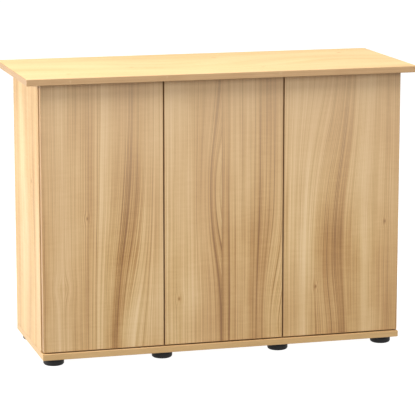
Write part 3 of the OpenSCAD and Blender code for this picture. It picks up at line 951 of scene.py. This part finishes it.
@dataclass
class Doors:
    """The three door leaves, each with its own piece of the decor."""

    core: bpy.types.Material

    def left(self) -> DecorFinish:
        """Decor of the left door: a cream streak, and lines that lean low down on the right.

        Returns:
            The decor.
        """
        return DecorFinish(
            "left_door_decor", Grain.UPRIGHT, 101.0, upper_painted_light_share=0.5,
            tones=((0.0, 0.62), (0.02, 0.52), (0.07, 0.5), (0.11, 0.36), (0.17, 0.26), (0.23, 0.34),
                   (0.27, 0.48), (0.32, 0.46), (0.38, 0.56), (0.44, 0.44), (0.485, 0.34),
                   (0.5, 0.12), (0.52, 0.3), (0.57, 0.44), (0.6, 0.52), (0.625, 0.62),
                   (0.64, 0.52), (0.675, 0.6), (0.69, 0.7), (0.705, 0.58), (0.735, 0.64),
                   (0.75, 0.72), (0.77, 0.58), (0.82, 0.5), (0.88, 0.36), (0.94, 0.4), (1.0, 0.5)),
            sweeps=(Sweep(0.68, -0.05, 0.2, 0.5, 0.17),),
            knots=(Knot(0.37, 0.5, 0.003), Knot(0.17, 0.24, 0.007, 0.2)))

    def middle(self) -> DecorFinish:
        """Decor of the middle door: half a spindle beside a straight joint.

        Returns:
            The decor.
        """
        return DecorFinish(
            "middle_door_decor", Grain.UPRIGHT, 113.0, upper_painted_light_share=0.5,
            tones=((0.0, 0.4), (0.04, 0.28), (0.1, 0.36), (0.16, 0.28), (0.24, 0.34),
                   (0.32, 0.38), (0.33, 0.52), (0.345, 0.44), (0.4, 0.46), (0.462, 0.46),
                   (0.474, 0.98), (0.488, 0.66), (0.505, 0.44), (0.532, 0.42), (0.541, 0.7),
                   (0.552, 0.42), (0.585, 0.42), (0.594, 0.6), (0.604, 0.42), (0.652, 0.44),
                   (0.66, 0.54), (0.67, 0.46), (0.72, 0.46), (0.78, 0.52), (0.8, 0.66),
                   (0.83, 0.64), (0.88, 0.66), (0.9, 0.78), (0.915, 0.66), (0.96, 0.58), (1.0, 0.5)),
            sweeps=(Sweep(0.48, 0.58, 0.15, 0.26, 0.13, True), Sweep(0.9, 0.05, 0.12, 0.3, 0.1)),
            knots=(Knot(0.12, 0.175, 0.003),))

    def right(self) -> DecorFinish:
        """Decor of the right door: lines that sweep down from the upper right.

        Returns:
            The decor.
        """
        return DecorFinish(
            "right_door_decor", Grain.UPRIGHT, 131.0, upper_painted_light_share=0.5,
            tones=((0.0, 0.38), (0.05, 0.28), (0.12, 0.36), (0.17, 0.3), (0.22, 0.45),
                   (0.27, 0.58), (0.29, 0.68), (0.305, 0.56), (0.345, 0.6), (0.36, 0.72),
                   (0.378, 0.58), (0.415, 0.58), (0.43, 0.66), (0.445, 0.56), (0.468, 0.58),
                   (0.48, 0.84), (0.494, 0.56), (0.54, 0.48), (0.555, 0.56), (0.57, 0.42),
                   (0.64, 0.36), (0.69, 0.18), (0.75, 0.3), (0.8, 0.46), (0.86, 0.42),
                   (0.9, 0.5), (0.95, 0.4), (1.0, 0.42)),
            sweeps=(Sweep(0.45, 1.05, 0.26, 0.42, -0.18), Sweep(0.45, -0.05, 0.16, 0.25, -0.07)),
            knots=(Knot(0.88, 0.43, 0.003), Knot(0.28, 0.19, 0.003)))

    def build(self) -> None:
        """Build the three leaves."""
        for node, decor in (("left_door", self.left()), ("middle_door", self.middle()),
                            ("right_door", self.right())):
            Board(node, decor, self.core).build()


@dataclass
class Glides:
    """Round plastic glides under the base board."""

    finish: bpy.types.Material
    screw_finish: bpy.types.Material
    radius: float = 0.027
    height: float = 0.020
    inner_x: float = 0.154
    rim_round: float = 0.006
    collar: float = 0.0007
    bore: float = 0.00186
    pocket: float = 0.006
    pocket_depth: float = 0.008
    waist_drop: float = 0.0052
    groove_depth: float = 0.0008
    steps: int = 64

    def profile(self) -> list[tuple[float, float]]:
        """Radius and height of each point round half the section.

        Returns:
            The points, closed from the last to the first.
        """
        body = self.radius - self.collar
        rim = [(body - self.rim_round * (1 - math.sin(turn)), self.rim_round * (1 - math.cos(turn)))
               for turn in (math.radians(15 * step) for step in range(7))]
        waist = self.height - self.waist_drop
        groove = body - self.groove_depth
        return [
            (self.bore, self.pocket_depth), (self.pocket, self.pocket_depth),
            (self.pocket, 0.0005), (self.pocket + 0.0005, 0.0), *rim,
            (body, waist - 0.0016), (groove, waist - 0.0012), (groove, waist - 0.0004),
            (body, waist), (self.radius - 0.0002, waist + 0.0003), (self.radius, waist + 0.0008),
            (self.radius, self.height - 0.0006), (self.radius - 0.0006, self.height),
            (self.bore, self.height)]

    def turned(self, parts: bmesh.types.BMesh, centre: Vector) -> None:
        """Add one glide.

        Args:
            parts: Geometry to add to.
            centre: Middle of its sole.
        """
        section = self.profile()
        rings = []
        for step in range(self.steps):
            turn = 2 * math.pi * step / self.steps
            rings.append([parts.verts.new(centre + Vector((radius * math.cos(turn),
                                                           radius * math.sin(turn), height)))
                          for radius, height in section])
        for here, after in zip(rings, rings[1:] + rings[:1]):
            for low in range(len(section)):
                high = (low + 1) % len(section)
                parts.faces.new((here[low], after[low], after[high], here[high]))

    def build(self) -> None:
        """Build both rows of glides and dress their screws."""
        for node in ("front_glides", "rear_glides"):
            low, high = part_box(node)
            outer_x = high.x - self.radius
            parts = bmesh.new()
            for x in (-outer_x, -self.inner_x, self.inner_x, outer_x):
                self.turned(parts, Vector((x, (low.y + high.y) / 2, low.z)))
            made = piece(node + "_turned", mesh_of(node + "_turned", parts, 40.0))
            made.data.materials.append(self.finish)
            stand_in(made, node)
        refinish("glide_screws", self.screw_finish)


@dataclass
class PushLatches:
    """Magnetic push latches: housing, screws, spring and plunger, with the strike plates."""

    housing: bpy.types.Material
    plunger: bpy.types.Material
    steel: bpy.types.Material
    edge_round: float = 0.0007
    shortest_edge: float = 0.0022
    flat_below: float = 1.0
    sharp_above: float = 60.0
    spring_room: float = 0.01
    wire: float = 0.0003
    turn_gap: float = 0.00004
    coils: int = 13
    dead_coils: int = 2
    steps: int = 20
    wire_steps: int = 8

    def coil(self, parts: bmesh.types.BMesh, start: Vector, length: float, radius: float) -> None:
        """Add one coil spring along Y.

        Args:
            parts: Geometry to add to.
            start: Middle of its front end.
            length: Its length.
            radius: Radius of the wire's centre line.
        """
        turns = self.coils + 2 * self.dead_coils
        dead_pitch = 2 * self.wire + self.turn_gap
        open_pitch = (length - 2 * self.dead_coils * dead_pitch - 2 * self.wire) / self.coils
        rings = []
        reach = self.wire
        for step in range(turns * self.steps + 1):
            turn = step / self.steps
            angle = 2 * math.pi * turn
            out = Vector((math.cos(angle), 0.0, math.sin(angle)))
            middle = start + radius * out + Vector((0.0, reach, 0.0))
            rings.append([parts.verts.new(middle + self.wire * (math.cos(lap) * out
                                                                + math.sin(lap) * Vector((0, 1, 0))))
                          for lap in (2 * math.pi * k / self.wire_steps
                                      for k in range(self.wire_steps))])
            dead = turn < self.dead_coils or turn >= turns - self.dead_coils
            reach += (dead_pitch if dead else open_pitch) / self.steps
        for here, after in zip(rings, rings[1:]):
            for low in range(self.wire_steps):
                high = (low + 1) % self.wire_steps
                parts.faces.new((here[low], after[low], after[high], here[high]))
        parts.faces.new(rings[0])
        parts.faces.new(list(reversed(rings[-1])))

    def springs(self) -> None:
        """Build the three springs in the place of their outer shapes."""
        node = frame["nodes"]["latch_springs"]
        parts = bmesh.new()
        for side in ("left", "middle", "right"):
            low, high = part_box(side + "_latch_plunger")
            middle = (low + high) / 2
            near = [corner.co for corner in node.data.vertices
                    if (corner.co.xz - middle.xz).length < self.spring_room]
            front = min(corner.y for corner in near)
            length = max(corner.y for corner in near) - front
            radius = max((corner.xz - middle.xz).length for corner in near) - self.wire
            self.coil(parts, Vector((middle.x, front, middle.z)), length, radius)
        made = piece("latch_coil_springs", mesh_of("latch_coil_springs", parts, 60.0))
        made.data.materials.append(self.steel)
        stand_in(made, "latch_springs")

    def housings(self) -> None:
        """Build the three moulded housings with softened outer edges."""
        parts = bmesh.new()
        parts.from_mesh(frame["nodes"]["latch_housings"].data)
        bmesh.ops.remove_doubles(parts, verts=parts.verts, dist=MERGE)
        bmesh.ops.dissolve_limit(parts, angle_limit=math.radians(self.flat_below),
                                 verts=parts.verts, edges=parts.edges)
        outer = [edge for edge in parts.edges
                 if edge.calc_length() > self.shortest_edge and edge.is_manifold
                 and edge.is_convex and edge.calc_face_angle() > math.radians(self.sharp_above)]
        bmesh.ops.bevel(parts, geom=outer, offset=self.edge_round, segments=3, profile=0.5,
                        affect="EDGES", clamp_overlap=True)
        made = piece("latch_moulded_housings", mesh_of("latch_moulded_housings", parts, 35.0))
        made.data.materials.append(self.housing)
        stand_in(made, "latch_housings")

    def build(self) -> None:
        """Build the housings and springs and dress the rest."""
        self.housings()
        self.springs()
        refinish("latch_screws", self.steel)
        for side in ("left", "middle", "right"):
            refinish(side + "_latch_plunger", self.plunger)
            refinish(side + "_door_strike_plate", self.steel)


@dataclass
class Hinges:
    """Concealed cup hinges, two to a door."""

    nickel: bpy.types.Material
    steel: bpy.types.Material
    bumper: bpy.types.Material

    def build(self) -> None:
        """Dress the plates, arms, links, cups, pins, screws and bumpers."""
        for node in ("hinge_plates", "hinge_arms"):
            refinish(node, self.nickel)
        for node in ("hinge_plate_screws", "hinge_arm_screws", "hinge_arm_pins"):
            refinish(node, self.steel)
        for side in ("left", "middle", "right"):
            for part in ("_door_hinge_cups", "_door_outer_links", "_door_inner_links"):
                refinish(side + part, self.nickel)
            for part in ("_door_cup_pins", "_door_cup_screws"):
                refinish(side + part, self.steel)
            refinish(side + "_door_bumpers", self.bumper)


@dataclass
class Fittings:
    """Cams, bolts, dowels and shelf pins that hold the boards together."""

    zinc: bpy.types.Material
    steel: bpy.types.Material
    upright_beech: bpy.types.Material
    rail_beech: bpy.types.Material

    def build(self) -> None:
        """Dress every fitting."""
        refinish("cam_locks", self.zinc)
        refinish("cam_bolts", self.steel)
        refinish("shelf_pins", self.steel)
        refinish("upright_dowels", self.upright_beech)
        refinish("rail_dowels", self.rail_beech)


@dataclass(frozen=True)
class Softbox:
    """A large soft lamp that faces a point."""

    name: str
    place: tuple[float, float, float]
    aim: tuple[float, float, float]
    width: float
    height: float
    watts: float
    colour: Colour = (1.0, 1.0, 1.0)

    def build(self) -> None:
        """Hang the lamp."""
        lamp = bpy.data.lights.new(self.name, "AREA")
        lamp.shape = "RECTANGLE"
        lamp.size = self.width
        lamp.size_y = self.height
        lamp.energy = self.watts
        lamp.color = self.colour
        holder = bpy.data.objects.new(self.name, lamp)
        bpy.context.scene.collection.objects.link(holder)
        holder.location = self.place
        facing = Vector(self.aim) - Vector(self.place)
        holder.rotation_euler = facing.to_track_quat("-Z", "Y").to_euler()
        log.info("lamp %s", self.name)


@dataclass
class Studio:
    """Camera, white floor and soft lamps."""

    camera_place: tuple[float, float, float] = (-1.4993, -5.4331, 1.4324)
    yaw: float = 15.49
    tilt: float = 10.85
    lens: float = 191.5
    floor_size: float = 60.0
    sky: Colour = (1.0, 1.0, 1.0)
    sky_strength: float = 0.35
    lamps: tuple[Softbox, ...] = (
        Softbox("overhead", (-0.4, -1.0, 3.4), (0.0, -0.1, 0.4), 3.0, 2.2, 140.0),
        Softbox("front_fill", (-0.6, -4.2, 2.6), (0.0, -0.1, 0.4), 3.2, 1.8, 62.0),
        Softbox("left_side", (-3.4, 0.2, 1.2), (-0.4, 0.0, 0.4), 1.6, 2.0, 112.0, (1.0, 0.98, 0.94)),
    )

    def camera(self) -> None:
        """Set the camera."""
        eye = bpy.data.cameras.new("camera")
        eye.lens = self.lens
        eye.sensor_width = 36.0
        eye.clip_end = 100.0
        holder = bpy.data.objects.new("camera", eye)
        bpy.context.scene.collection.objects.link(holder)
        holder.location = self.camera_place
        holder.rotation_euler = (math.radians(90 - self.tilt), 0.0, math.radians(-self.yaw))
        bpy.context.scene.camera = holder

    def floor(self) -> None:
        """Lay the floor."""
        parts = bmesh.new()
        bmesh.ops.create_grid(parts, x_segments=4, y_segments=4, size=self.floor_size / 2)
        ground = piece("studio_floor", mesh_of("studio_floor", parts))
        ground.data.materials.append(FloorFinish().dress())
        ground.visible_diffuse = False

    def surround(self) -> None:
        """Light the surround evenly."""
        world = bpy.data.worlds.new("surround")
        world.use_nodes = True
        glow = world.node_tree.nodes["Background"]
        glow.inputs["Color"].default_value = (*self.sky, 1.0)
        glow.inputs["Strength"].default_value = self.sky_strength
        bpy.context.scene.world = world
        bpy.context.scene.view_settings.view_transform = "Standard"

    def build(self) -> None:
        """Set up the whole studio."""
        self.camera()
        self.floor()
        self.surround()
        for lamp in self.lamps:
            lamp.build()


def main() -> None:
    """Build the stand, sub-assembly by sub-assembly."""
    logging.basicConfig(level=logging.INFO, format="%(name)s: %(message)s")
    Studio().build()
    core = ChipboardFinish().dress()
    hardboard = HardboardFinish().dress()
    nickel = MetalFinish("nickel_plate", tint(222, 218, 210), tint(192, 188, 180), 0.38).dress()
    steel = MetalFinish("zinc_steel", tint(208, 210, 214), tint(170, 172, 178), 0.40).dress()
    zinc = MetalFinish("cast_zinc", tint(168, 170, 174), tint(120, 122, 128), 0.5,
                       (900.0, 900.0, 900.0), 0.00008).dress()
    black = PlasticFinish("black_plastic", tint(5, 5, 6), tint(12, 12, 13), 0.52).dress()
    grey = PlasticFinish("grey_plastic", tint(206, 206, 202), tint(184, 184, 180)).dress()
    magnet = MetalFinish("magnet_metal", tint(132, 134, 140), tint(96, 98, 104), 0.4).dress()
    carcass = Carcass(core, hardboard)
    carcass.long_boards()
    carcass.uprights()
    carcass.rear_and_shelves()
    Doors(core).build()
    Glides(black, steel).build()
    Hinges(nickel, steel, RubberFinish().dress()).build()
    PushLatches(grey, magnet, steel).build()
    Fittings(zinc, steel, BeechFinish("upright_beech", Z).dress(),
             BeechFinish("rail_beech", X).dress()).build()


if __name__ == "__main__":
    main()
